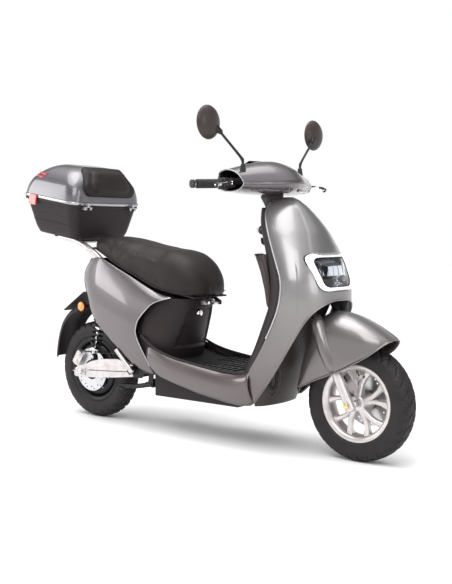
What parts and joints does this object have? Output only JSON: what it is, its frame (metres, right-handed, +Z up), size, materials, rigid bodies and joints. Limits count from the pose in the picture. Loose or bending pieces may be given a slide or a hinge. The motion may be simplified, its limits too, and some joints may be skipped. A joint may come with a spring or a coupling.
{
  "type": "moped scooter",
  "caption": "Step-through electric moped scooter with leg shield, two-step seat, top case with backrest, sprung fork and swing arm, disc brakes and folding stands.",
  "frame": {"origin": "on the ground under the middle of the length, on the middle plane", "axes": "+X forward, +Y to the rider's left, +Z up"},
  "size_m": [1.8042, 0.774, 1.251],
  "materials": {
    "frame_black": "satin",
    "body_silver": "metallic gloss",
    "body_gunmetal": "metallic gloss",
    "lid_grey": "gloss",
    "bright_trim": "polished",
    "lamp_glass": "clear",
    "lamp_unit": "gloss",
    "black_plastic": "textured",
    "signal_lens": "gloss",
    "black_steel": "gloss",
    "silver_steel": "satin",
    "chrome_steel": "polished",
    "cast_silver": "satin",
    "black_alloy": "satin",
    "disc_steel": "brushed",
    "tyre_rubber": "matte",
    "grip_rubber": "matte",
    "mirror_shell": "gloss",
    "latch_red": "gloss",
    "seat_vinyl": "soft sheen"
  },
  "bodies": {
    "chassis": {"main_frame": "frame_black", "front_shield": "body_silver", "headlight_bezel": "bright_trim", "headlight_lens": "lamp_glass", "headlight_unit": "lamp_unit", "inner_shield": "black_plastic", "lower_fairing": "black_plastic", "side_skirts": "body_gunmetal", "floorboard": "black_plastic", "belly_cover": "black_plastic", "battery_and_controller": "black_plastic", "seat_post_cover": "black_plastic", "rear_panels": "body_gunmetal", "tail_cover": "black_plastic", "rear_lamps": "signal_lens", "rear_mudguard": "black_plastic", "seat_bucket": "black_plastic", "grab_rail": "black_steel", "case_tub": "black_plastic"},
    "steering": {"steering_stem": "black_steel", "handlebar": "black_steel", "handlebar_cover": "body_silver", "switch_housings": "black_plastic", "left_grip": "grip_rubber"},
    "throttle": {"throttle_grip": "grip_rubber"},
    "right_lever": {"right_brake_lever": "chrome_steel"},
    "left_lever": {"left_brake_lever": "chrome_steel"},
    "right_mirror": {"right_mirror": "mirror_shell"},
    "left_mirror": {"left_mirror": "mirror_shell"},
    "horn_button": {"horn_button": "black_plastic"},
    "start_button": {"start_button": "black_plastic"},
    "fork": {"fork_lowers": "cast_silver", "front_fender": "body_silver", "front_caliper": "cast_silver", "front_axle": "chrome_steel", "front_brake_hose": "grip_rubber"},
    "front_wheel": {"front_tyre": "tyre_rubber", "front_rim": "cast_silver", "front_disc": "disc_steel", "front_bearings": "disc_steel"},
    "swing_arm": {"swing_arm": "cast_silver", "rear_caliper": "cast_silver", "rear_brake_hose": "grip_rubber"},
    "rear_wheel": {"rear_tyre": "tyre_rubber", "rear_rim": "black_alloy", "rear_disc": "disc_steel"},
    "shock_upper": {"shock_bodies": "silver_steel", "shock_springs": "black_steel"},
    "shock_lower": {"shock_rods": "chrome_steel"},
    "seat": {"seat_cushion": "seat_vinyl", "seat_base": "black_plastic"},
    "case_lid": {"case_lid": "lid_grey", "backrest_pad": "seat_vinyl"},
    "right_case_latch": {"right_case_latch": "latch_red"},
    "left_case_latch": {"left_case_latch": "latch_red"},
    "side_stand": {"side_stand": "black_steel"},
    "centre_stand": {"centre_stand": "black_steel"},
    "right_footpeg": {"right_footpeg": "silver_steel"},
    "left_footpeg": {"left_footpeg": "silver_steel"},
    "ignition_key": {"ignition_key": "chrome_steel"}
  },
  "joints": [
    {"name": "steering", "type": "hinge", "parent": "chassis", "child": "steering", "pos_m": [0.66719, 0, 0.19485], "axis": [-0.4384, 0, 0.8988], "range_deg": [-38, 38]},
    {"name": "fork_travel", "type": "slide", "parent": "steering", "child": "fork", "axis": [-0.4384, 0, 0.8988], "range_m": [-0.02, 0.04], "stiffness_N_per_m": 9000, "springref_m": -0.036},
    {"name": "front_wheel_spin", "type": "hinge", "parent": "fork", "child": "front_wheel", "pos_m": [0.69415, 0, 0.208], "axis": [0, 1, 0], "continuous": true},
    {"name": "swing_arm_pivot", "type": "hinge", "parent": "chassis", "child": "swing_arm", "pos_m": [-0.28085, 0, 0.235], "axis": [0, 1, 0], "range_deg": [-3.5, 7], "stiffness_Nm_per_rad": 1500, "springref_deg": -5.73},
    {"name": "rear_wheel_spin", "type": "hinge", "parent": "swing_arm", "child": "rear_wheel", "pos_m": [-0.62585, 0, 0.208], "axis": [0, 1, 0], "continuous": true},
    {"name": "shock_pivot", "type": "hinge", "parent": "chassis", "child": "shock_upper", "pos_m": [-0.50585, 0, 0.515], "axis": [0, 1, 0], "range_deg": [-0.11, 0.22]},
    {"name": "shock_travel", "type": "slide", "parent": "shock_upper", "child": "shock_lower", "axis": [0.2048, 0, 0.9788], "range_m": [-0.01705, 0.03399], "deforming": ["shock_springs"]},
    {"name": "seat_hinge", "type": "hinge", "parent": "chassis", "child": "seat", "pos_m": [0.02215, 0, 0.528], "axis": [0, 1, 0], "range_deg": [0, 55]},
    {"name": "case_lid_hinge", "type": "hinge", "parent": "chassis", "child": "case_lid", "pos_m": [-0.55754, 0, 0.90597], "axis": [0, 1, 0], "range_deg": [0, 75]},
    {"name": "right_latch_hinge", "type": "hinge", "parent": "case_lid", "child": "right_case_latch", "pos_m": [-0.82764, -0.2085, 0.96495], "axis": [-0.9877, 0, 0.1564], "range_deg": [0, 50]},
    {"name": "left_latch_hinge", "type": "hinge", "parent": "case_lid", "child": "left_case_latch", "pos_m": [-0.82764, 0.2085, 0.96495], "axis": [0.9877, 0, -0.1564], "range_deg": [0, 50]},
    {"name": "throttle_twist", "type": "hinge", "parent": "steering", "child": "throttle", "pos_m": [0.23503, -0.293, 0.97981], "axis": [-0.2991, -0.9537, -0.0303], "range_deg": [0, 75], "stiffness_Nm_per_rad": 0.3, "springref_deg": -11.46},
    {"name": "right_brake_squeeze", "type": "hinge", "parent": "steering", "child": "right_lever", "pos_m": [0.28973, -0.227, 0.984], "axis": [0, 0, -1], "range_deg": [0, 18], "stiffness_Nm_per_rad": 4, "springref_deg": -5.73},
    {"name": "left_brake_squeeze", "type": "hinge", "parent": "steering", "child": "left_lever", "pos_m": [0.28973, 0.227, 0.984], "axis": [0, 0, 1], "range_deg": [0, 18], "stiffness_Nm_per_rad": 4, "springref_deg": -5.73},
    {"name": "right_mirror_tilt", "type": "hinge", "parent": "steering", "child": "right_mirror", "pos_m": [0.28615, -0.29, 1.162], "axis": [0, 1, 0], "range_deg": [-12, 12]},
    {"name": "left_mirror_tilt", "type": "hinge", "parent": "steering", "child": "left_mirror", "pos_m": [0.28615, 0.29, 1.162], "axis": [0, 1, 0], "range_deg": [-12, 12]},
    {"name": "horn_press", "type": "slide", "parent": "steering", "child": "horn_button", "axis": [1, 0, 0], "range_m": [0, 0.0025], "stiffness_N_per_m": 400, "springref_m": -0.001},
    {"name": "start_press", "type": "slide", "parent": "steering", "child": "start_button", "axis": [1, 0, 0], "range_m": [0, 0.0025], "stiffness_N_per_m": 400, "springref_m": -0.001},
    {"name": "side_stand_pivot", "type": "hinge", "parent": "chassis", "child": "side_stand", "pos_m": [-0.06585, 0.134, 0.142], "axis": [0, -1, 0], "range_deg": [0, 100], "stiffness_Nm_per_rad": 0.6, "springref_deg": -74.48},
    {"name": "centre_stand_pivot", "type": "hinge", "parent": "chassis", "child": "centre_stand", "pos_m": [-0.21785, 0, 0.19], "axis": [0, -1, 0], "range_deg": [0, 80], "stiffness_Nm_per_rad": 2.5, "springref_deg": -85.94},
    {"name": "right_footpeg_fold", "type": "hinge", "parent": "chassis", "child": "right_footpeg", "pos_m": [-0.29585, -0.144, 0.246], "axis": [0.7071, 0, 0.7071], "range_deg": [0, 85]},
    {"name": "left_footpeg_fold", "type": "hinge", "parent": "chassis", "child": "left_footpeg", "pos_m": [-0.29585, 0.144, 0.246], "axis": [-0.7071, 0, -0.7071], "range_deg": [0, 85]},
    {"name": "key_turn", "type": "hinge", "parent": "chassis", "child": "ignition_key", "pos_m": [0.29415, -0.045, 0.815], "axis": [-1, 0, 0], "range_deg": [0, 90]}
  ],
  "couplings": [
    {"joint": "shock_pivot", "follows": "swing_arm_pivot", "ratio": 0.03},
    {"joint": "shock_travel", "follows": "swing_arm_pivot", "m_per_rad": 0.2774}
  ]
}
